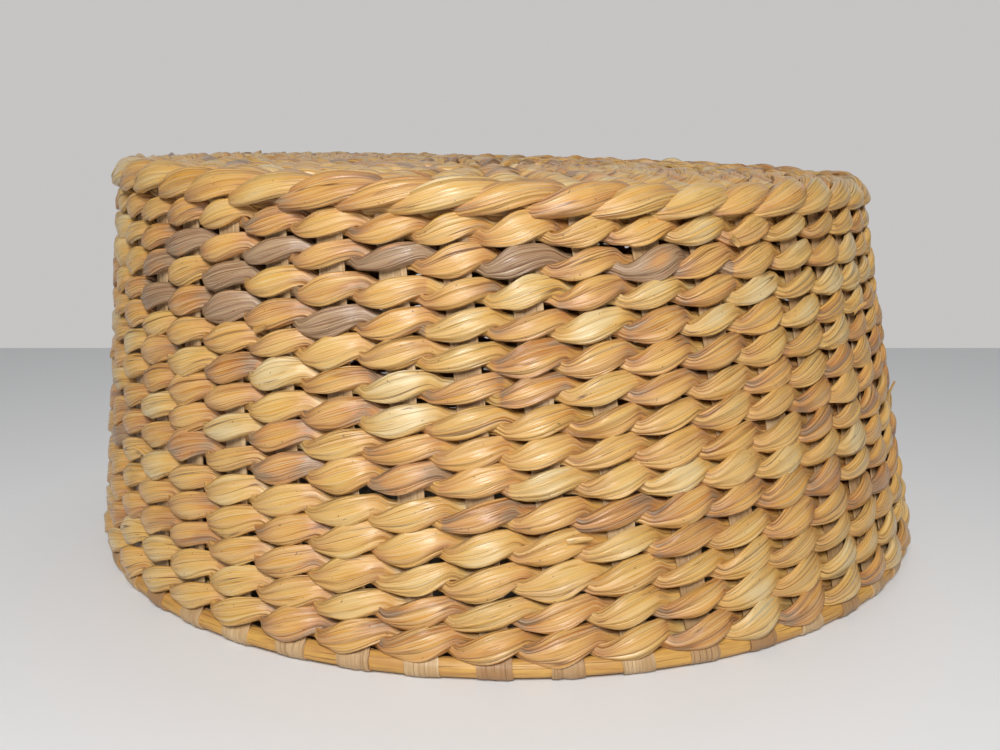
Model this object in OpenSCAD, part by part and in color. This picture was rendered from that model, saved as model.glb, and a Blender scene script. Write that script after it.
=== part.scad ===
// A low drum seat twined from dried leaf. Flat strips are laid across the middle of the seat, run over
// the shoulder and down the wall as stakes, and are folded round a core at the open rim. More stakes are
// added part of the way out. Each course is a pair of strands, one on either face of the stakes.

/* [Drum] */
// Outside width of the wall at the floor
rim_d = 400; // [360:1:480]
// Outside width of the wall at the level of the seat
seat_d = 350; // [300:1:420]
// Height of the middle of the seat above the floor
height = 175; // [120:1:230]
// Radius that the stakes turn through at the shoulder
shoulder_r = 9; // [8:0.5:12]
// Distance of the seat's middle to the right of the rim's middle
lean = -8; // [-10:0.5:10]
// Slope of the seat down to its right, in degrees
seat_tilt = 1.4; // [0:0.1:1.6]

/* [Stakes] */
// Strips laid across the middle of the seat, half of them each way
base_strips = 12; // [10:2:14]
// Width of a strip or a stake
stake_w = 8.5; // [6:0.1:10.5]
// Thickness of a strip or a stake
stake_t = 0.8; // [0.6:0.1:1.2]
// Angle of the first added stake on the seat, in degrees
weave_turn = -4.5; // [-180:0.5:180]
// Angle that the stakes creep round between the seat and the rim, in degrees
weave_skew = 3; // [0:0.5:4]
// Widest spacing that is left between stakes before more are added
open_spacing = 24; // [20:1:30]

/* [Courses] */
// Height of a course on the wall, and its width on the seat, which is fitted to whole courses
course_pitch = 10.9; // [9:0.1:14]
// Thickness of one strand
strand_t = 4.6; // [3.6:0.1:5.6]
// Extra clearance at the shoulder, where the stakes turn out of flat
turn_gap = 0.3; // [0.2:0.05:0.5]
// Width of the outer strand on the shoulder
shoulder_w = 13.5; // [11:0.5:15]
// Gap between one course and the next
course_gap = 0.6; // [0.5:0.1:1.5]
// Clearance between a strand and a stake
weave_gap = 0.6; // [0.55:0.05:1]

/* [Rim] */
// Thickness of the core
core_d = 7; // [5:0.5:10]
// Width of a stake where it is folded round the core
fold_w = 12.5; // [9:0.5:16]
// Clearance between the core and a fold, and between crossed strips
lay_gap = 0.2; // [0.15:0.05:0.4]
// Depth that the folds are pressed flat under the rim
press = 0.15; // [0.1:0.05:0.3]

/* [Hidden] */
$fn = 64;
leaf_colour = [0.85, 0.64, 0.33];
pale_leaf_colour = [0.89, 0.72, 0.43];
strip_colour = [0.78, 0.62, 0.42];
core_colour = [0.80, 0.57, 0.28];
arc_steps = 8; // flats that a stake's turn over the shoulder is made of

// Levels and radii of the middle of the stakes
strand_off = stake_t / 2 + weave_gap + strand_t / 2; // from the middle of the stakes to a wall strand
layer = (stake_t + lay_gap) / 2; // from the middle of the stakes to either layer of crossed strips
seat_off = layer + strand_off; // from the middle of the stakes to a seat strand
seat_z = height - seat_off - strand_t / 2;
rim_r = rim_d / 2 - strand_off - strand_t / 2;
seat_r = seat_d / 2 - strand_off - strand_t / 2;
wall_slope = atan((rim_r - seat_r) / seat_z);
fold_r = core_d / 2 + lay_gap + stake_t;
core_z = fold_r - press;
core_r = wall_r(core_z);

// The shoulder, in the seat's own frame
turn_r = seat_r - shoulder_r * tan((90 - wall_slope) / 2); // where the seat ends and the turn starts
turn_middle = (90 + wall_slope) / 2;
shoulder_drop = shoulder_r * (1 - sin(wall_slope));
shoulder_off = seat_off + turn_gap; // from the middle of the stakes to a shoulder strand
shoulder_inner_w = strand_t + 1;

// Layout of the strips and stakes
set_size = base_strips / 2;
base_step = 90 / set_size;
hub_half = (stake_w + lay_gap) / (2 * tan(base_step / 2)); // half of the square where the strips cross
add_r = open_spacing * base_strips / PI;
end_lap = 1; // lap between the flat and the turned lengths of one strip

// Layout of the courses
wall_foot = core_z + fold_r + course_gap;
wall_head = seat_z - shoulder_drop;
wall_courses = round((wall_head - wall_foot) / course_pitch);
wall_pitch = (wall_head - wall_foot) / wall_courses;
wall_w = wall_pitch / cos(wall_slope) - course_gap;
seat_courses = round((turn_r - hub_half) / course_pitch);
seat_pitch = (turn_r - hub_half) / seat_courses;
seat_w = seat_pitch - course_gap;

function numbered_name(name, i) = str(name, i < 10 ? "_0" : "_", i);
function numbered(name, count) = [for (i = [1:count]) numbered_name(name, i)];
function unit(v) = v / norm(v);

// Radius of the middle of the stakes at height z, and how far that level has moved and tilted
function wall_r(z) = rim_r + (seat_r - rim_r) * z / seat_z;
function level_centre(z) = [lean * z / seat_z, 0, z];
function level_tilt(z) = seat_tilt * z / seat_z;

// Direction from the middle of the seat at angle a, and the point where that stake meets the core
function seat_dir(a) = [cos(a) * cos(seat_tilt), sin(a), -cos(a) * sin(seat_tilt)];
function rim_point(a) =
    level_centre(core_z) + core_r * [cos(a + weave_skew), sin(a + weave_skew), 0];

function shoulder_point(a) = level_centre(seat_z) + seat_r * seat_dir(a);

// Axes of the plane that holds a stake: outwards where it is halfway down the wall, up, and across it
function stake_axes(a) =
    let (
        out = seat_dir(a + weave_skew / 2),
        wall = shoulder_point(a) - rim_point(a),
        up = unit(wall - (wall * out) * out)
    )
    [out, up, cross(out, up)];

module at_level(z) {
    translate(level_centre(z)) rotate([0, level_tilt(z), 0]) children();
}

module in_stake_plane(a) {
    axes = stake_axes(a);
    at = shoulder_point(a);
    multmatrix([for (i = [0:2]) [axes[0][i], axes[1][i], axes[2][i], at[i]]]) children();
}

// Section of a strand w wide, standing on end at the origin
module strand_section(w) {
    straight = w - strand_t;
    square([strand_t, straight], center = true);
    for (end = [-1, 1]) translate([0, end * straight / 2]) circle(d = strand_t);
}

// Ring of a strand whose section is turned about the point at, and then moved out by off
module strand_ring(at, turn, off, w) {
    rotate_extrude() translate(at) rotate(turn) translate([off, 0]) strand_section(w);
}

// Side view of a stake from just inside the shoulder to the core, at height lay above the seat's middle.
// The origin is where the lines of the seat and the wall cross.
module stake_outline(rim, lay) {
    corner = [0, lay];
    wall = unit(rim - corner);
    turn = acos(wall[0]);
    middle = [-shoulder_r * tan(turn / 2), lay - shoulder_r];
    across = [-wall[1], wall[0]];
    foot = rim - wall * (fold_r - stake_t / 2);
    half = stake_t / 2;
    polygon(concat(
        [[middle[0] - end_lap, lay + half]],
        [for (i = [0:arc_steps]) let (a = 90 - turn * i / arc_steps)
            middle + (shoulder_r + half) * [cos(a), sin(a)]],
        [foot + half * across, foot - half * across],
        [for (i = [arc_steps:-1:0]) let (a = 90 - turn * i / arc_steps)
            middle + (shoulder_r - half) * [cos(a), sin(a)]],
        [[middle[0] - end_lap, lay - half]]
    ));
}

// The part of a stake at angle a that goes over the shoulder, down the wall and round the core
module stake(a, lay) {
    axes = stake_axes(a);
    to_rim = rim_point(a) - shoulder_point(a);
    rim = [to_rim * axes[0], to_rim * axes[1]];
    in_stake_plane(a) linear_extrude(stake_w, center = true) stake_outline(rim, lay);
    fold(a + weave_skew);
}

// Sleeve that a stake makes round the core at angle a
module fold(a) {
    span = fold_w / core_r * 180 / PI;
    translate(level_centre(core_z)) rotate(a - span / 2) rotate_extrude(angle = span)
        translate([core_r, 0]) difference() {
            circle(fold_r);
            circle(fold_r - stake_t);
        }
}

// Cuts what is below the floor, which leaves the folds flat underneath
module pressed_flat() {
    difference() {
        children();
        translate([-rim_d, -rim_d, -fold_r]) cube([2 * rim_d, 2 * rim_d, fold_r]);
    }
}

// Plan of a strip that crosses the middle and leaves it at angle a on its right, and likewise on its left
module strip_plan(a) {
    elbow = hub_half * [1, tan(a)];
    edge = turn_r * [cos(a), sin(a)];
    mitre = stake_w / 2 / cos(a / 2) * [-sin(a / 2), cos(a / 2)];
    side = stake_w / 2 * [-sin(a), cos(a)];
    right = [elbow + mitre, edge + side, edge - side, elbow - mitre];
    polygon(concat(right, [for (i = [3:-1:0]) [-right[i][0], right[i][1]]]));
}

// A strip right across the seat, with a stake at each end
module base_strip(i) {
    second_set = i > set_size;
    place = i - (second_set ? set_size : 0);
    a = (place - (set_size + 1) / 2) * base_step;
    along = weave_turn + base_step / 2 * (set_size % 2) + (second_set ? 90 : 0);
    lay = second_set ? layer : -layer;
    color(strip_colour) pressed_flat() {
        stake(along + a, lay);
        stake(along + 180 - a, lay);
        at_level(seat_z) rotate(along) translate([0, 0, lay - stake_t / 2])
            linear_extrude(stake_t) strip_plan(a);
    }
}

// Two stakes on opposite sides, which start part of the way out between the ends of the strips
module added_stakes(i) {
    color(strip_colour) for (side = [0, 180]) pressed_flat() {
        a = weave_turn + (i - 1) * base_step + side;
        stake(a, 0);
        at_level(seat_z) rotate(a) translate([add_r, -stake_w / 2, -stake_t / 2])
            cube([turn_r - add_r, stake_w, stake_t]);
    }
}

module rim_core() {
    color(core_colour) translate(level_centre(core_z))
        rotate_extrude() translate([core_r, 0]) circle(d = core_d);
}

module wall_course(i) {
    z = wall_foot + (i - 0.5) * wall_pitch;
    color(i % 2 ? leaf_colour : pale_leaf_colour) at_level(z) for (side = [-1, 1])
        strand_ring([wall_r(z), 0], wall_slope, side * strand_off, wall_w);
}

// The inner strand is narrow here, because the turn leaves it no more room
module shoulder_course() {
    color(leaf_colour) at_level(seat_z) {
        strand_ring([turn_r, -shoulder_r], turn_middle, shoulder_r + shoulder_off, shoulder_w);
        strand_ring([turn_r, -shoulder_r], turn_middle, shoulder_r - shoulder_off, shoulder_inner_w);
    }
}

module seat_course(i) {
    r = turn_r - (i - 0.5) * seat_pitch;
    color(i % 2 ? pale_leaf_colour : leaf_colour) at_level(seat_z) for (side = [-1, 1])
        strand_ring([r, 0], 90, side * seat_off, seat_w);
}

for (i = [1:base_strips]) {
    base_strip(i);
    added_stakes(i);
}
rim_core();
for (i = [1:wall_courses])
    wall_course(i);
shoulder_course();
for (i = [1:seat_courses])
    seat_course(i);
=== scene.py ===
import math

import bpy
import numpy as np
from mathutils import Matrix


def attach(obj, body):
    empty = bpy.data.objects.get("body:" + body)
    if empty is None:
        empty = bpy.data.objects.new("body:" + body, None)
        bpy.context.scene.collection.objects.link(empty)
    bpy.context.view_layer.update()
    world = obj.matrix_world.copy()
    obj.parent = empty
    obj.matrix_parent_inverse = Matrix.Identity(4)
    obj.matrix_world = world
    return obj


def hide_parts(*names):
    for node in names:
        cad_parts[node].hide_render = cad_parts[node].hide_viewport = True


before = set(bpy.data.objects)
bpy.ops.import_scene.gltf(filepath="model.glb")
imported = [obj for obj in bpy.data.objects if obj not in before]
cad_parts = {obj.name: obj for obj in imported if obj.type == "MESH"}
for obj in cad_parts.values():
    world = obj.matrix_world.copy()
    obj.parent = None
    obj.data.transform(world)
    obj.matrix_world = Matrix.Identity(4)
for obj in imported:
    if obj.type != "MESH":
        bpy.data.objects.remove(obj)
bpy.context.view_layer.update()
print("frame loaded,", len(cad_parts), "nodes")

mm = 0.001

# sizes that the weave is built on, in metres and degrees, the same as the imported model's
drum = {
    "rimRadius": 0.1944,      # middle of the stakes at the floor
    "seatRadius": 0.1694,     # and at the level of the seat
    "seatLevel": 0.1689,
    "shoulderRadius": 0.009,
    "lean": -0.008,
    "seatTilt": 1.4,
    "stakeAngle": -4.5,       # an added stake, at the level of the seat
    "stakeCreep": 3.0,        # what the stakes turn through from seat to rim
    "stakes": 48,
    "wallCourses": 14,
    "seatCourses": 12,
    "closeCourses": 6,        # outer seat courses that go round all the stakes
    "courseGap": 0.0006,
    "hubHalf": 0.03304,       # half the width of the crossed strips in the middle of the seat
    "addedFrom": 0.0917,
    "coreLevel": 0.00435,
    "coreRadius": 0.0035,
    "foldReach": 0.0045,      # from the middle of the core to the outside of a fold
}

# where each kind of piece starts its random numbers
seeds = {"wall": 1, "shoulder": 40, "seat": 60, "wallWave": 500, "shoulderWave": 540, "seatWave": 560,
         "strip": 200, "added": 300, "core": 77}

slope = math.atan((drum["rimRadius"] - drum["seatRadius"]) / drum["seatLevel"])
turnRadius = drum["seatRadius"] - drum["shoulderRadius"] * math.tan((math.pi / 2 - slope) / 2)
wallFoot = drum["coreLevel"] + drum["foldReach"] + drum["courseGap"]
wallHead = drum["seatLevel"] - drum["shoulderRadius"] * (1 - math.sin(slope))
wallPitch = (wallHead - wallFoot) / drum["wallCourses"]
seatPitch = (turnRadius - drum["hubHalf"]) / drum["seatCourses"]
spacing = 360 / drum["stakes"]


def wallRadius(z):
    return drum["rimRadius"] + (drum["seatRadius"] - drum["rimRadius"]) * z / drum["seatLevel"]


def levelCentre(z):
    return np.array([drum["lean"] * z / drum["seatLevel"], 0.0, z])


def stakeTurn(z):
    # angle of the first added stake at height z
    return drum["stakeAngle"] + drum["stakeCreep"] * (1 - z / drum["seatLevel"])


def atLevel(points, z):
    # points about the middle of a level, tilted and moved as that level is
    tilt = math.radians(drum["seatTilt"] * z / drum["seatLevel"])
    x, y, up = points[..., 0], points[..., 1], points[..., 2]
    turned = np.stack([x * math.cos(tilt) + up * math.sin(tilt), y,
                       up * math.cos(tilt) - x * math.sin(tilt)], axis=-1)
    return turned + levelCentre(z)


def eased(t):
    return t * t * (3 - 2 * t)


def alongLobes(values, lobePlace):
    # smooth run from each lobe's value to the next, closed round the ring
    low = np.floor(lobePlace).astype(int)
    share = eased(lobePlace - low)
    return values[low % len(values)] * (1 - share) + values[(low + 1) % len(values)] * share


def selectOnly(*pieces):
    # the first piece is the active one
    bpy.ops.object.select_all(action="DESELECT")
    for piece in pieces:
        piece.select_set(True)
    bpy.context.view_layer.objects.active = pieces[0]


def setPoints(piece, points):
    piece.data.vertices.foreach_set("co", np.asarray(points, float).reshape(-1))
    piece.data.update()


def putAttribute(piece, name, values):
    layer = piece.data.attributes.new(name, "FLOAT", "POINT")
    layer.data.foreach_set("value", np.asarray(values, np.float32).reshape(-1))


def addGrid(name, points):
    # a grid of points, rows running along the leaf and columns across or round it
    rows, columns = points.shape[:2]
    bpy.ops.mesh.primitive_grid_add(x_subdivisions=columns - 1, y_subdivisions=rows - 1, size=1)
    piece = bpy.context.object
    piece.name = name
    setPoints(piece, points)
    return piece


def putMap(piece, columns, along, across):
    # UV map from each row's length along the leaf and each column's place across or round it
    mesh = piece.data
    corners = np.zeros(len(mesh.loops), np.int32)
    mesh.loops.foreach_get("vertex_index", corners)
    row, column = corners // columns, corners % columns
    layer = mesh.uv_layers.get("UVMap") or mesh.uv_layers.new(name="UVMap")
    uv = np.stack([along[row], across[row, column]], axis=-1)
    layer.data.foreach_set("uv", uv.astype(np.float32).reshape(-1))


def closeSeams(piece):
    selectOnly(piece)
    bpy.ops.object.mode_set(mode="EDIT")
    bpy.ops.mesh.select_all(action="SELECT")
    bpy.ops.mesh.remove_doubles(threshold=0.001 * mm)
    bpy.ops.object.mode_set(mode="OBJECT")
    bpy.ops.object.shade_smooth()


def thicken(piece, thick):
    selectOnly(piece)
    solid = piece.modifiers.new("thickness", "SOLIDIFY")
    solid.thickness = thick
    solid.offset = 0
    bpy.ops.object.modifier_apply(modifier=solid.name)
    bpy.ops.object.mode_set(mode="EDIT")
    bpy.ops.mesh.select_all(action="SELECT")
    bpy.ops.mesh.normals_make_consistent(inside=False)
    bpy.ops.object.mode_set(mode="OBJECT")


def place(piece, material):
    piece.data.materials.clear()
    piece.data.materials.append(material)
    piece.location = (0, 0, 0)
    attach(piece, "root")


class Wire:
    # one output of a shader node, which can be reckoned with
    def __init__(self, shader, socket):
        self.shader, self.socket = shader, socket

    def output(self, number):
        return Wire(self.shader, self.socket.node.outputs[number])

    def maths(self, operation, *values):
        return self.shader.node("ShaderNodeMath", {"operation": operation}, dict(enumerate(values)))

    def __add__(self, other):
        return self.maths("ADD", self, other)

    def __radd__(self, other):
        return self.maths("ADD", other, self)

    def __sub__(self, other):
        return self.maths("SUBTRACT", self, other)

    def __rsub__(self, other):
        return self.maths("SUBTRACT", other, self)

    def __mul__(self, other):
        return self.maths("MULTIPLY", self, other)

    def __rmul__(self, other):
        return self.maths("MULTIPLY", other, self)


class Shader:
    # the nodes of a material or a world
    def __init__(self, owner, surface="Principled BSDF"):
        owner.use_nodes = True
        self.owner, self.tree = owner, owner.node_tree
        self.surface = self.tree.nodes[surface]

    def fill(self, socket, value):
        if isinstance(value, Wire):
            self.tree.links.new(value.socket, socket)
        elif isinstance(value, tuple):
            socket.default_value = (*value, 1)
        else:
            socket.default_value = value

    def node(self, kind, settings=None, sockets=None, out=0):
        made = self.tree.nodes.new(kind)
        for key, value in (settings or {}).items():
            if key == "stops":
                ramp = made.color_ramp
                while len(ramp.elements) < len(value):
                    ramp.elements.new(0.5)
                for stop, (position, colour) in zip(ramp.elements, value):
                    stop.position = position
                    stop.color = (*colour, 1)
            else:
                setattr(made, key, value)
        for key, value in (sockets or {}).items():
            self.fill(made.inputs[key], value)
        return Wire(self, made.outputs[out])

    def set(self, **sockets):
        for name, value in sockets.items():
            self.fill(self.surface.inputs[name.replace("_", " ")], value)

    def blend(self, share, first, second):
        return self.node("ShaderNodeMix", {"data_type": "RGBA"}, {0: share, 6: first, 7: second}, out=2)

    def band(self, value, low, high, start=0.0, end=1.0):
        return self.node("ShaderNodeMapRange", {"interpolation_type": "SMOOTHSTEP"},
                         {0: value, 1: low, 2: high, 3: start, 4: end})

    def attribute(self, name):
        return self.node("ShaderNodeAttribute", {"attribute_name": name}, out=2)

    def ownMap(self):
        # both coordinates of the piece's own UV map
        uv = self.node("ShaderNodeUVMap", {"uv_map": "UVMap"})
        along = self.node("ShaderNodeSeparateXYZ", sockets={0: uv})
        return along, along.output(1)

    def noise(self, x, y, z, detail, roughness):
        spot = self.node("ShaderNodeCombineXYZ", sockets={0: x, 1: y, 2: z})
        return self.node("ShaderNodeTexNoise", {"noise_dimensions": "3D"},
                         {"Vector": spot, "Scale": 1.0, "Detail": detail, "Roughness": roughness})


leafColours = {
    "cream": (0.68, 0.51, 0.25),
    "straw": (0.65, 0.375, 0.088),
    "gold": (0.61, 0.30, 0.060),
    "amber": (0.46, 0.175, 0.038),
    "brown": (0.28, 0.145, 0.075),
    # painted shade for the grooves of folds and splits, also the colour of the leaf's own dark specks
    "grooveShadeAndSpeck": (0.10, 0.032, 0.008),
    # pale fibres, partly the leaf's own colour and partly painted sheen
    "paleFibreSheen": (0.80, 0.63, 0.37),
    "core": (0.48, 0.24, 0.065),
    "stake": (0.44, 0.27, 0.12),
    "stakePale": (0.66, 0.48, 0.27),
    "fold": (0.33, 0.17, 0.065),
}

twistedLeaf = {
    # each pattern's stretch along the leaf and round it, its detail and its place in the noise
    "streak": (0.30, 5.0, 2.0, 0.0),
    "fine": (0.45, 17.0, 2.0, 30.0),
    "fold": (0.13, 1.7, 0.0, 60.0),
    "split": (0.35, 7.0, 0.0, 120.0),
    "blotch": (1.1, 0.9, 2.0, 90.0),
    "speck": (24.0, 4.0, 0.0, 200.0),
    "stops": [(0.0, "cream"), (0.25, "straw"), (0.55, "gold"), (0.78, "amber"), (0.92, "brown")],
    # what each pattern does to the tone, how strongly its groove is darkened with painted shade, and how
    # deep it is; the specks are the leaf's own dark marks
    "tones": {"streak": 0.38, "blotch": 0.65, "fold": 0.35},
    "grooveShadeAndSpecks": {"fold": 0.75, "split": 0.45, "speck": 0.6},
    "relief": {"streak": 0.55, "fine": 0.30, "fold": 3.4, "split": 0.4},
    "foldWidth": 0.011,
    "splitWidth": 0.020,
    # the darkening towards the tips is partly the leaf's amber tips and partly painted shade where the
    # strand turns in behind the other
    "tipShadeAndAmber": 0.26,      # how far the leaf darkens towards a lobe's tips
    "toneShift": 0.05,
    "roughness": 0.29,
    "tipRoughness": 0.12,
    "gloss": {"Specular_IOR_Level": 0.6, "Coat_Weight": 0.12, "Coat_Roughness": 0.25},
}


def strandLeaf():
    # u counts stakes along the strand, v goes once round it
    s = Shader(bpy.data.materials.new("twistedLeaf"))
    along, once = s.ownMap()
    angle = once * (2 * math.pi)
    cosine = angle.maths("COSINE", angle)
    sine = angle.maths("SINE", angle)
    tone, lobe = s.attribute("tone"), s.attribute("lobe")

    def fibres(pattern):
        stretch, width, detail, shift = twistedLeaf[pattern]
        return s.noise(along * stretch + shift, cosine * width, sine * width, detail, 0.55)

    def fromMiddle(value):
        return value.maths("ABSOLUTE", value - 0.5)

    streak, fine, fold = fibres("streak"), fibres("fine"), fibres("fold")
    split, blotch, speck = fibres("split"), fibres("blotch"), fibres("speck")
    foldLine = s.band(fromMiddle(fold), 0.0, twistedLeaf["foldWidth"], 1.0, 0.0)
    splitLine = s.band(fromMiddle(split), 0.0, twistedLeaf["splitWidth"], 1.0, 0.0)
    splitLine = splitLine * s.band(blotch, 0.50, 0.62)      # splits come in patches
    tones, grooveShadeAndSpecks, depths = twistedLeaf["tones"], twistedLeaf["grooveShadeAndSpecks"], twistedLeaf["relief"]
    # the tone darkens towards the lobe tips: partly amber tips, partly painted shade
    shade = (tone + (streak - 0.5) * tones["streak"] + (blotch - 0.5) * tones["blotch"]
             + (fold - 0.5) * tones["fold"] + (1 - lobe) * twistedLeaf["tipShadeAndAmber"]
             + twistedLeaf["toneShift"])
    stops = [(position, leafColours[name]) for position, name in twistedLeaf["stops"]]
    colour = s.node("ShaderNodeValToRGB", {"stops": stops}, {0: shade})
    # pale fibre streaks: partly the leaf's own pale fibres, partly painted sheen
    colour = s.blend(s.band(fine, 0.40, 0.62) * 0.35, colour, leafColours["paleFibreSheen"])
    # painted shade: the fold and split grooves, which the bump sinks, are darkened
    paintedGrooveShade = foldLine * grooveShadeAndSpecks["fold"] + splitLine * grooveShadeAndSpecks["split"]
    colour = s.blend(paintedGrooveShade, colour, leafColours["grooveShadeAndSpeck"])
    colour = s.blend(s.band(speck, 0.80, 0.84) * grooveShadeAndSpecks["speck"], colour, leafColours["grooveShadeAndSpeck"])
    relief = (streak * depths["streak"] + fine * depths["fine"] + fromMiddle(fold) * depths["fold"]
              - splitLine * depths["split"])
    bump = s.node("ShaderNodeBump", sockets={"Height": relief, "Strength": 0.9, "Distance": 0.8 * mm})
    rough = twistedLeaf["roughness"] + (fine - 0.5) * 0.35 + (1 - lobe) * twistedLeaf["tipRoughness"]
    s.set(Base_Color=colour, Roughness=rough, Normal=bump, **twistedLeaf["gloss"])
    return s.owner


def flatLeaf(name, pale, dark, fibreWidth):
    # u is millimetres along the leaf, v millimetres across it
    s = Shader(bpy.data.materials.new(name))
    along, across = s.ownMap()

    def fibres(stretch, width, detail, shift):
        # stretch along the leaf and across it, detail and place in the noise
        return s.noise(along * stretch, across * width, shift, detail, 0.6)

    streak = fibres(0.03, fibreWidth, 3.0, 0.0)
    fine = fibres(0.05, fibreWidth * 3.2, 1.0, 20.0)
    blotch = fibres(0.06, 0.12, 2.0, 40.0)
    colour = s.blend(s.band(streak * 0.6 + blotch * 0.5, 0.35, 0.72), leafColours[pale], leafColours[dark])
    colour = s.blend(s.attribute("tone"), colour, leafColours["fold"])
    # the grooves between fibres are sunk by the bump and darkened with painted shade
    groove = s.band(fine, 0.58, 0.70)
    colour = s.blend(groove * 0.55, colour, leafColours["grooveShadeAndSpeck"])
    relief = streak * 0.5 - groove * 0.4
    bump = s.node("ShaderNodeBump", sockets={"Height": relief, "Strength": 0.7, "Distance": 0.4 * mm})
    s.set(Base_Color=colour, Roughness=0.50 + (streak - 0.5) * 0.2, Normal=bump)
    return s.owner


strandMaterial = strandLeaf()
stakeMaterial = flatLeaf("flatStakeLeaf", "stakePale", "stake", 0.9)
coreMaterial = flatLeaf("rolledCoreLeaf", "straw", "core", 0.7)
print("materials made")

strand = {
    "out": 0.0031,         # middle of a strand from the middle of the stakes, on the wall
    "lift": 0.0027,        # rise and fall of a strand as it twists round the other
    "midHalf": 0.0055,     # half width where it covers a stake
    "tipHalf": 0.0032,     # and where the strands cross
    "point": 0.22,         # how much narrower its lower tip is, and its upper tip wider
    "midThick": 0.0019,
    "tipThick": 0.0023,
    "wander": 0.0005,      # slow wave of a course up and down
    "tilt": 0.32,          # how far, in radians, its face leans up or down where the strands cross
    "early": 14,           # degrees of twist by which it comes forward, so that it laps over the one before
    "turnBack": 0.93,      # 0 is a smooth wave, and nearly 1 runs straight and turns back sharply behind
    "taper": 1.4,          # power of the wave that narrows it towards its tips
    "outPower": 0.8,       # and of the one that takes it out and in
    "thickPower": 0.62,    # powers that square up its section, through the leaf and across it
    "widePower": 0.85,
    "behindDrop": 0.60,    # what it loses of its rise, and of its width, in behind the stakes
    "behindSlim": 0.22,
    "folds": (3, 5),       # folds that run along it, in two sets
    "swells": (2, 3, 5, 8),
    "segments": 16,        # to a stake
    "round": 24,
}

# how much lobes differ: the spread of each value in radians, metres or shares, the most that a width
# ("widest") or a thickness ("thickest") may change, and the usual height of a fold
vary = {"phase": 0.13, "width": 0.11, "widest": 0.22, "thick": 0.07, "thickest": 0.15, "out": 0.15 * mm,
        "rise": 0.35 * mm, "lean": 0.12, "fold": 0.07, "foldSpread": 0.035, "tone": 0.07}

# a leaf lasts for 5 to 12 lobes; its tone lies on the material's ramp, from cream to brown
leafMix = {"lobes": (5, 13), "brownShare": 0.07, "paleShare": 0.16,
           "brown": (0.86, 1.0), "pale": (0.05, 0.2), "usual": (0.18, 0.66)}


def leafTones(chance, lobes):
    # each lobe of a leaf varies a little from the leaf's own tone
    tones = np.zeros(lobes)
    first = 0
    while first < lobes:
        length = chance.integers(*leafMix["lobes"])
        kind = chance.random()
        if kind < leafMix["brownShare"]:
            tone = chance.uniform(*leafMix["brown"])
        elif kind < leafMix["brownShare"] + leafMix["paleShare"]:
            tone = chance.uniform(*leafMix["pale"])
        else:
            tone = chance.uniform(*leafMix["usual"])
        tones[first:first + length] = tone
        first += length
    return np.clip(tones + chance.normal(0, vary["tone"], lobes), 0, 1)


def rounded(values, power):
    # a power that keeps the sign, which squares up or sharpens a wave
    return np.sign(values) * np.abs(values) ** power


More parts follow.
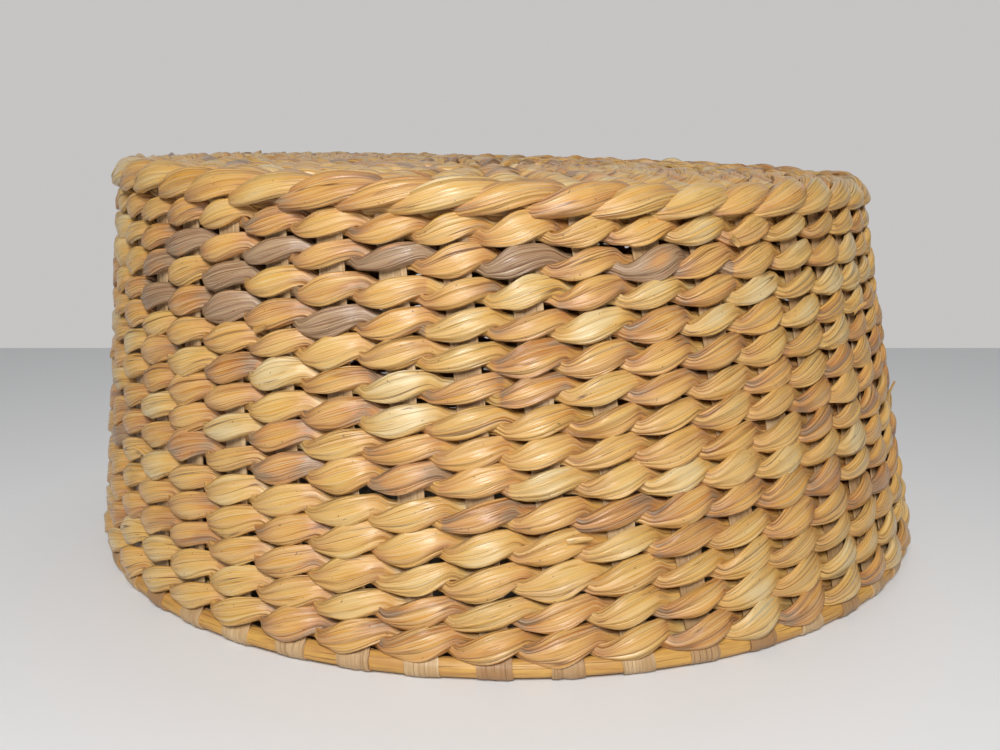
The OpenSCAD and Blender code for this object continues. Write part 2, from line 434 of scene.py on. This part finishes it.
def twineStrand(name, seed, which, strands, stakes, firstAngle, ring, level, shape):
    segments, around = shape["segments"], shape["round"]
    rows = stakes * segments + 1
    chance = np.random.default_rng(seed)
    lobes = 2 * stakes // strands      # outside and inside lobes, turn about
    stakeCount = np.arange(rows) / segments
    lobePlace = 2 * (stakeCount - which) / strands

    def varied(spread, middle=0.0):
        return alongLobes(chance.normal(middle, spread, lobes), lobePlace)

    def variedShare(spread, most):
        return 1 + alongLobes(np.clip(chance.normal(0, spread, lobes), -most, most), lobePlace)

    # path and section of the strand at every row
    phase = math.pi * lobePlace + varied(vary["phase"])
    cosine, sine = np.cos(phase), np.sin(phase)
    flat = np.abs(cosine) ** shape["taper"]
    sway = np.arcsin(shape["turnBack"] * sine) / math.asin(shape["turnBack"])
    behind = eased(np.clip(-cosine / 0.6, 0, 1))      # how far a strand has gone in behind the stakes
    widthVary = variedShare(vary["width"], vary["widest"])
    thickVary = variedShare(vary["thick"], vary["thickest"])
    fore = np.cos(phase + math.radians(shape["early"]))
    out = shape["out"] * rounded(fore, shape["outPower"]) + varied(vary["out"])
    rise = shape["lift"] * sway * (1 - shape["behindDrop"] * behind) + varied(vary["rise"])
    tipHalf = shape["tipHalf"] * (1 + shape["point"] * sway)
    halfWide = (tipHalf + (shape["midHalf"] - tipHalf) * flat) * widthVary
    halfWide = halfWide * (1 - shape["behindSlim"] * behind)
    halfThick = (shape["tipThick"] + (shape["midThick"] - shape["tipThick"]) * flat) * thickVary
    lean = shape["tilt"] * sine + varied(vary["lean"])

    # the flattened section, with folds that run along it
    angle = -2 * math.pi * np.arange(around + 1) / around
    ridge = np.ones((rows, around + 1))
    for folds in shape["folds"]:
        size = varied(vary["foldSpread"], vary["fold"])
        turn = alongLobes(chance.uniform(0, 2 * math.pi, lobes), lobePlace)
        ridge += size[:, None] * (1 - 1.5 * np.abs(np.sin(folds * angle[None, :] / 2 + turn[:, None])))
    thick = halfThick[:, None] * ridge * rounded(np.cos(angle), shape["thickPower"])
    wide = halfWide[:, None] * ridge * rounded(np.sin(angle), shape["widePower"])
    across = out[:, None] + thick * np.cos(lean)[:, None] - wide * np.sin(lean)[:, None]
    upward = rise[:, None] + thick * np.sin(lean)[:, None] + wide * np.cos(lean)[:, None]

    # round the drum, with the slow wave that all strands of a course share
    bearing = math.radians(firstAngle) + 2 * math.pi * stakeCount / stakes
    wave = np.random.default_rng(ring["wave"])
    for swell in shape["swells"]:
        swing = shape["wander"] / math.sqrt(swell) * wave.normal()
        upward += (swing * np.sin(swell * bearing + wave.uniform(0, 6.28)))[:, None]
    radius = ring["radius"] + across * math.cos(ring["turn"]) - upward * math.sin(ring["turn"])
    height = ring["height"] + across * math.sin(ring["turn"]) + upward * math.cos(ring["turn"])
    east, north = np.cos(bearing)[:, None], np.sin(bearing)[:, None]
    points = np.stack([radius * east, radius * north, height], axis=-1)

    piece = addGrid(name, atLevel(points, level))
    tones = leafTones(chance, lobes)[np.round(lobePlace).astype(int) % lobes]
    putAttribute(piece, "tone", np.repeat(tones, around + 1))
    putAttribute(piece, "lobe", np.repeat(np.clip(np.abs(cosine), 0, 1), around + 1))
    onceRound = np.repeat(np.arange(around + 1)[None] / around, rows, axis=0)
    putMap(piece, around + 1, stakeCount + seed * 61.0, onceRound)
    closeSeams(piece)
    return piece


def twineCourse(node, seed, strands, stakes, firstAngle, ring, level, shape):
    name = node + "_leaf"
    made = [twineStrand(name, seed * 7 + which, which, strands, stakes, firstAngle, ring, level, shape)
            for which in range(strands)]
    selectOnly(*made)
    bpy.ops.object.join()
    piece = made[0]
    piece.name = name
    place(piece, strandMaterial)
    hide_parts(node)


wallWeave = {
    "settleCourses": 5,        # the lowest courses are beaten down on to the rim
    "settleDrop": 2.2 * mm,
    "firstOut": 0.9 * mm,      # the lowest course stands out over the folds
    "lowWidth": 1.05,
    "headNarrow": 0.15,        # how much narrower the strands get towards the shoulder
    "narrowFrom": 6,
}
narrowCourses = drum["wallCourses"] - 1 - wallWeave["narrowFrom"]
for i in range(drum["wallCourses"]):
    settle = max(0, 1 - i / wallWeave["settleCourses"])
    z = wallFoot + (i + 0.5) * wallPitch - wallWeave["settleDrop"] * settle
    ring = {"radius": wallRadius(z), "height": 0.0, "turn": slope, "wave": seeds["wallWave"] + i}
    up = max(0, i - wallWeave["narrowFrom"])
    slim = wallWeave["lowWidth"] - wallWeave["headNarrow"] * up / narrowCourses
    shape = dict(strand, midHalf=strand["midHalf"] * slim, tipHalf=strand["tipHalf"] * slim,
                 out=strand["out"] + (wallWeave["firstOut"] if i == 0 else 0))
    firstAngle = stakeTurn(z) + spacing * (i % 2)
    node = f"wall_course_{i + 1:02d}"
    twineCourse(node, seeds["wall"] + i, 2, drum["stakes"], firstAngle, ring, z, shape)
print("wall twined")

looseEnd = {
    "length": 0.009,
    "half": 0.0011,
    "narrow": 0.55,       # how much of its width is gone at the tip
    "thick": 0.0005,
    "proud": 0.0042,      # from the middle of the stakes to where it leaves its strand
    "curl": 0.0022,       # and how much further out its tip stands
    "cup": 0.0005,
    "rows": 9,
    "columns": 5,
    "tone": 0.3,
    "toneStep": 0.05,
}
# bearing, height, size against the usual, and angle of the end above the floor
looseEnds = [(-82.6, 0.0505, 1.0, 12), (-22.0, 0.0745, 1.5, 38), (-60.0, 0.152, 0.8, 150),
             (-118.0, 0.118, 0.8, 20), (-35.0, 0.120, 0.9, 25), (-140.0, 0.060, 1.0, 160),
             (150.0, 0.090, 1.1, 30), (60.0, 0.130, 1.0, 15), (15.0, 0.040, 0.9, 145),
             (100.0, 0.070, 1.2, 35)]
for i, (bearing, z, size, rise) in enumerate(looseEnds):
    rows, columns = looseEnd["rows"], looseEnd["columns"]
    t = np.linspace(0, 1, rows)[:, None]
    side = np.linspace(-1, 1, columns)[None, :]
    run = looseEnd["length"] * size * (t - 0.35) + 0 * side
    wide = looseEnd["half"] * (1 - looseEnd["narrow"] * t ** 3) * side
    lift = math.radians(rise)
    across = run * math.cos(lift) - wide * math.sin(lift)
    upward = run * math.sin(lift) + wide * math.cos(lift)
    proud = wallRadius(z) + looseEnd["proud"] + looseEnd["curl"] * t ** 2 - looseEnd["cup"] * side ** 2
    turn = math.radians(bearing) + across / proud
    points = np.stack([proud * np.cos(turn), proud * np.sin(turn), upward], axis=-1)
    piece = addGrid(f"loose_end_{i + 1:02d}", atLevel(points, z))
    putMap(piece, columns, t[:, 0] + i * 13.0, np.repeat(side * 0.06, rows, axis=0))
    putAttribute(piece, "tone", np.full(rows * columns, looseEnd["tone"] + looseEnd["toneStep"] * (i % 5)))
    putAttribute(piece, "lobe", np.ones(rows * columns))
    thicken(piece, looseEnd["thick"])
    place(piece, strandMaterial)
print("loose ends added")

shoulderStrand = dict(strand, out=0.0040, lift=0.0038, midHalf=0.0059, tipHalf=0.0038, midThick=0.0025,
                      tipThick=0.0026, early=8)
turnMiddle = math.radians(36)
shoulderReach = drum["shoulderRadius"] + 0.8 * mm
ring = {"radius": turnRadius + math.cos(turnMiddle) * shoulderReach,
        "height": -drum["shoulderRadius"] + math.sin(turnMiddle) * shoulderReach,
        "turn": turnMiddle, "wave": seeds["shoulderWave"]}
twineCourse("shoulder_course", seeds["shoulder"], 3, drum["stakes"], drum["stakeAngle"], ring,
            drum["seatLevel"], shoulderStrand)
print("shoulder twined")

seatStrand = dict(strand, out=0.0034, segments=12, round=18)
# the outer courses reach out to the shoulder and start to turn down
seatWeave = {"spreadCourses": 4, "spreadOut": 3.2 * mm, "spreadDown": 1.1 * mm, "spreadTurn": 16}
for i in range(drum["seatCourses"]):
    close = i < drum["closeCourses"]
    stakes = drum["stakes"] if close else drum["stakes"] // 2
    spread = max(0, 1 - i / seatWeave["spreadCourses"])
    ring = {"radius": turnRadius - (i + 0.5) * seatPitch + seatWeave["spreadOut"] * spread,
            "height": -seatWeave["spreadDown"] * spread ** 3,
            "turn": math.radians(90 - seatWeave["spreadTurn"] * spread ** 2), "wave": seeds["seatWave"] + i}
    firstAngle = drum["stakeAngle"] + (0 if close else spacing) + 360 / stakes * (i % 2)
    twineCourse(f"seat_course_{i + 1:02d}", seeds["seat"] + i, 2, stakes, firstAngle, ring,
                drum["seatLevel"], seatStrand)
print("seat twined")

stake = {
    "half": 0.00435,       # half width on the seat
    "wallHalf": 0.0050,    # and on the wall
    "foldHalf": 0.0061,    # and where it is folded round the core
    "matShare": 0.97,      # width among the crossed strips, as a share of that on the seat
    "thick": 0.0007,
    "layer": 0.0005,       # from the middle of the stakes to either layer of crossed strips
    "columns": 7,
    "cup": 0.00018,        # how far the middle stands out from the edges
    "ripple": 0.00012,     # how far the fibres stand out or in
    "edgeStep": 0.011,     # length from one change of width to the next
    "edgeVary": 0.045,
    "foldRadius": 0.0036,
    "foldStart": 48,       # degrees round the core where it first touches, and where it ends
    "foldEnd": 352,
    "leave": 0.0095,       # how far above the core it leaves the wall
    "leaveHandle": 0.004,
    "landHandle": 0.0016,
    "seatStep": 0.005,     # length of a row on the seat, and the number of rows in the other stretches
    "bendRows": 9,
    "wallRows": 38,
    "leadRows": 8,
    "foldRows": 20,
}


def unit(vector):
    return vector / np.linalg.norm(vector)


def onSeat(points, turn):
    # points in the seat's own plane, turned about its middle
    c, s = math.cos(math.radians(turn)), math.sin(math.radians(turn))
    x, y = points[..., 0], points[..., 1]
    return atLevel(np.stack([x * c - y * s, x * s + y * c, points[..., 2]], axis=-1), drum["seatLevel"])


def seatVector(vector, turn):
    return onSeat(np.asarray(vector, float)[None], turn)[0] - levelCentre(drum["seatLevel"])


def joined(rows):
    # rows of middle, way across and half width, as three arrays
    return tuple(np.array(values) for values in zip(*rows))


def stakeRun(bearing, lay, start):
    # a stake from radius start on the seat, over the shoulder, down the wall and round the core
    middle = levelCentre(drum["seatLevel"])
    out = seatVector((1, 0, 0), bearing)
    rimBearing = math.radians(bearing + drum["stakeCreep"])
    rimOut = np.array([math.cos(rimBearing), math.sin(rimBearing), 0])
    rim = levelCentre(drum["coreLevel"]) + wallRadius(drum["coreLevel"]) * rimOut
    wall = middle + drum["seatRadius"] * out - rim
    up = unit(wall - wall.dot(out) * out)
    wide = -np.cross(out, up)
    seatWide = seatVector((0, 1, 0), bearing)
    rimWide = np.array([-math.sin(rimBearing), math.cos(rimBearing), 0])

    # in the plane of out and up: down follows the wall, face points away from it
    rimFlat = np.array([(rim - middle).dot(out), (rim - middle).dot(up)])
    corner = np.array([drum["seatRadius"], lay])
    down = unit(rimFlat - corner)
    face = np.array([-down[1], down[0]])
    bend = math.acos(down[0])
    hub = np.array([corner[0] - drum["shoulderRadius"] * math.tan(bend / 2), lay - drum["shoulderRadius"]])

    def onCore(t):
        return rimFlat + stake["foldRadius"] * (-down * math.cos(t) + face * math.sin(t))

    rows = []
    seatRows = max(3, int((hub[0] - start) / stake["seatStep"]))
    for r in np.linspace(start, hub[0], seatRows):
        rows.append((np.array([r, lay]), seatWide, stake["half"]))
    for t in np.linspace(0, bend, stake["bendRows"])[1:]:
        spot = hub + drum["shoulderRadius"] * np.array([math.sin(t), math.cos(t)])
        half = stake["half"] + (stake["wallHalf"] - stake["half"]) * t / bend
        rows.append((spot, unit(seatWide * (1 - t / bend) + wide * t / bend), half))
    top = rows[-1][0]
    foot = rimFlat - down * stake["leave"]
    for t in np.linspace(0, 1, stake["wallRows"])[1:]:
        rows.append((top + (foot - top) * t, wide, stake["wallHalf"]))
    first, last = math.radians(stake["foldStart"]), math.radians(stake["foldEnd"])
    landing = onCore(first)
    leaving = foot + down * stake["leaveHandle"]
    arriving = landing - (down * math.sin(first) + face * math.cos(first)) * stake["landHandle"]
    for t in np.linspace(0, 1, stake["leadRows"])[1:]:
        spot = ((1 - t) ** 3 * foot + 3 * t * (1 - t) ** 2 * leaving + 3 * t * t * (1 - t) * arriving
                + t ** 3 * landing)
        half = stake["wallHalf"] + (stake["foldHalf"] - stake["wallHalf"]) * eased(t)
        rows.append((spot, unit(wide * (1 - t) + rimWide * t), half))
    for t in np.linspace(first, last, stake["foldRows"])[1:]:
        rows.append((onCore(t), rimWide, stake["foldHalf"]))
    flat, widths, halves = joined(rows)
    return middle + flat[:, :1] * out + flat[:, 1:] * up, widths, halves


def backwards(run):
    points, widths, halves = run
    return points[::-1], -widths[::-1], halves[::-1]


def ribbon(name, run, seed):
    points, widths, halves = run
    rows, columns = len(points), stake["columns"]
    chance = np.random.default_rng(seed)
    length = np.concatenate([[0], np.cumsum(np.linalg.norm(np.diff(points, axis=0), axis=1))])
    way = np.gradient(points, axis=0)
    way /= np.linalg.norm(way, axis=1, keepdims=True)
    proud = np.cross(way, widths)
    across = np.linspace(-1, 1, columns)
    knots = np.arange(0, length[-1] + 0.02, stake["edgeStep"])
    edges = [1 + np.interp(length, knots, chance.normal(0, stake["edgeVary"], len(knots)))
             for _ in range(2)]
    half = halves[:, None] * np.where(across[None, :] < 0, edges[0][:, None], edges[1][:, None])
    dip = (stake["cup"] * (1 - across ** 2) + stake["ripple"] * chance.normal(0, 1, columns))[None, :]
    sideways = widths[:, None, :] * (across[None, :] * half)[..., None]
    piece = addGrid(name, points[:, None, :] + sideways + proud[:, None, :] * dip[..., None])
    putMap(piece, columns, length * 1000 + seed * 731, across[None, :] * halves[:, None] * 1000 + seed * 17)
    # only the folded end is darkened, by its own amount
    folded = np.clip(halves / stake["half"] - 1, 0, 0.35) / 0.35
    tones = np.clip(np.interp(length, (0, length[-1]), chance.normal(0.35, 0.4, 2)), 0, 0.9) * folded
    putAttribute(piece, "tone", np.repeat(tones, columns))
    thicken(piece, stake["thick"])
    bpy.ops.object.shade_smooth_by_angle(angle=math.radians(50))
    return piece


mat = {"strips": 12, "rows": 34}
inSet = mat["strips"] // 2
stripStep = 90 / inSet
stripOff = [(k - (inSet - 1) / 2) * stripStep for k in range(inSet)]      # bearing of a strip's end
crossings = [drum["hubHalf"] * math.tan(math.radians(off)) for off in stripOff]


def matStretch(facing, number, side):
    # a strip's stretch among the crossed strips: over one and under the next
    hub = drum["hubHalf"]
    along = np.linspace(-hub, hub, mat["rows"])[1:-1]
    bounds = np.array([-hub] + crossings + [hub])
    over = [side * (-1) ** (number + k) * stake["layer"] for k in range(inSet)]
    heights = np.array([side * stake["layer"]] + over + [side * stake["layer"]])
    slot = np.clip(np.searchsorted(bounds, along) - 1, 0, len(bounds) - 2)
    share = eased((along - bounds[slot]) / (bounds[slot + 1] - bounds[slot]))
    level = heights[slot] * (1 - share) + heights[slot + 1] * share
    points = onSeat(np.stack([along, np.full_like(along, crossings[number]), level], axis=-1), facing)
    widths = np.repeat(seatVector((0, 1, 0), facing)[None], len(along), axis=0)
    return points, widths, np.full(len(along), stake["half"] * stake["matShare"])


for i in range(mat["strips"]):
    second, number = divmod(i, inSet)
    side = 1 if second else -1
    facing, off, lay = drum["stakeAngle"] + 90 * second, stripOff[number], side * stake["layer"]
    start = drum["hubHalf"] / math.cos(math.radians(off))
    runs = (backwards(stakeRun(facing + 180 - off, lay, start)), matStretch(facing, number, side),
            stakeRun(facing + off, lay, start))
    whole = tuple(np.concatenate(parts) for parts in zip(*runs))
    node = f"base_strip_{i + 1:02d}"
    piece = ribbon(node + "_leaf", whole, seeds["strip"] + i)
    place(piece, stakeMaterial)
    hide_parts(node)
for i in range(mat["strips"]):
    node = f"added_stakes_{i + 1:02d}"
    bearing = drum["stakeAngle"] + i * stripStep
    pair = []
    for end in (0, 1):
        run = stakeRun(bearing + 180 * end, 0, drum["addedFrom"])
        pair.append(ribbon(node + "_leaf", run, seeds["added"] + 2 * i + end))
    selectOnly(*pair)
    bpy.ops.object.join()
    place(pair[0], stakeMaterial)
    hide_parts(node)
print("stakes laid")

core = {"segments": 480, "round": 18, "ripple": 0.05}
chance = np.random.default_rng(seeds["core"])
bearing = 2 * math.pi * np.arange(core["segments"] + 1) / core["segments"]
roundAngle = -2 * math.pi * np.arange(core["round"] + 1) / core["round"]
knobs = np.ones((core["segments"] + 1, core["round"] + 1))
for folds in (2, 3, 5, 7):
    turns = folds * 4 % 11      # how often this fold winds round the core on its way round the rim
    winding = folds * roundAngle[None, :] + chance.uniform(0, 6) + turns * bearing[:, None]
    knobs += core["ripple"] / math.sqrt(folds) * np.cos(winding)
reach = drum["coreRadius"] * knobs
radius = wallRadius(drum["coreLevel"]) + reach * np.cos(roundAngle)
points = np.stack([radius * np.cos(bearing)[:, None], radius * np.sin(bearing)[:, None],
                   reach * np.sin(roundAngle)], axis=-1)
rimCore = addGrid("rim_core_leaf", levelCentre(drum["coreLevel"]) + points)
putMap(rimCore, core["round"] + 1, bearing * wallRadius(0) * 1000,
       np.repeat(-roundAngle[None] * drum["coreRadius"] * 1000, core["segments"] + 1, axis=0))
closeSeams(rimCore)
place(rimCore, coreMaterial)
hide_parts("rim_core")
print("rim core made")

# a camera in front of the drum, a little above its seat and looking down
view = {"lens": 39.2, "place": (-0.004, -0.545, 0.189), "pitch": 12.66}
bpy.ops.object.camera_add(location=view["place"], rotation=(math.radians(90 - view["pitch"]), 0, 0))
camera = bpy.context.object
camera.data.lens = view["lens"]
camera.data.sensor_width = 36
camera.data.clip_start = 0.01
bpy.context.scene.camera = camera


def stageSheet(name, near, far, colour, roughness):
    # a flat sheet from one depth and level to another, each given as (y, z)
    bpy.ops.mesh.primitive_plane_add(size=1)
    sheet = bpy.context.object
    sheet.name = name
    reach = table["reach"]
    setPoints(sheet, [(-reach, *near), (reach, *near), (-reach, *far), (reach, *far)])
    paint = Shader(bpy.data.materials.new(name + "Paint"))
    paint.set(Base_Color=colour, Roughness=roughness)
    sheet.data.materials.append(paint.owner)


table = {"back": 0.406, "reach": 3.0, "edgeDepth": 0.02, "edgeDrop": 0.004}
stageSheet("table", (-table["reach"], 0), (table["back"], 0), (0.84, 0.85, 0.865), 0.55)
# a dark sheet dropping from the table's back edge: a painted shadow line where the table meets the backdrop
stageSheet("table_edge", (table["back"], 0), (table["back"] + table["edgeDepth"], -table["edgeDrop"]),
           (0.30, 0.29, 0.29), 0.8)

lights = {
    "key": {"place": (-0.04, -1.15, 0.85), "aim": (0, 0, 0.09), "size": 0.40, "power": 17.0},
    "back": {"place": (0.3, 0.9, 2.2), "aim": (0, 0, 0.1), "size": 1.0, "power": 5},
}
for name, setting in lights.items():
    bpy.ops.object.light_add(type="AREA", location=setting["place"])
    lamp = bpy.context.object
    lamp.name = name
    lamp.data.size = setting["size"]
    lamp.data.energy = setting["power"]
    toward = unit(np.array(setting["aim"]) - np.array(setting["place"]))
    lamp.rotation_euler = (math.acos(-toward[2]), 0, math.atan2(-toward[0], toward[1]))

# a dim room with a pale wall behind the piece, towards +Y
room = {"wall": (0.565, 0.555, 0.55), "rest": (0.09, 0.09, 0.09), "edges": (0.62, 0.80)}
surround = Shader(bpy.data.worlds.new("softRoom"), "Background")
direction = surround.node("ShaderNodeTexCoord")
towardWall = surround.node("ShaderNodeSeparateXYZ", sockets={0: direction}, out=1)
surround.set(Color=surround.blend(surround.band(towardWall, *room["edges"]), room["rest"], room["wall"]))
bpy.context.scene.world = surround.owner
bpy.context.scene.view_settings.view_transform = "Standard"
print("stage set")
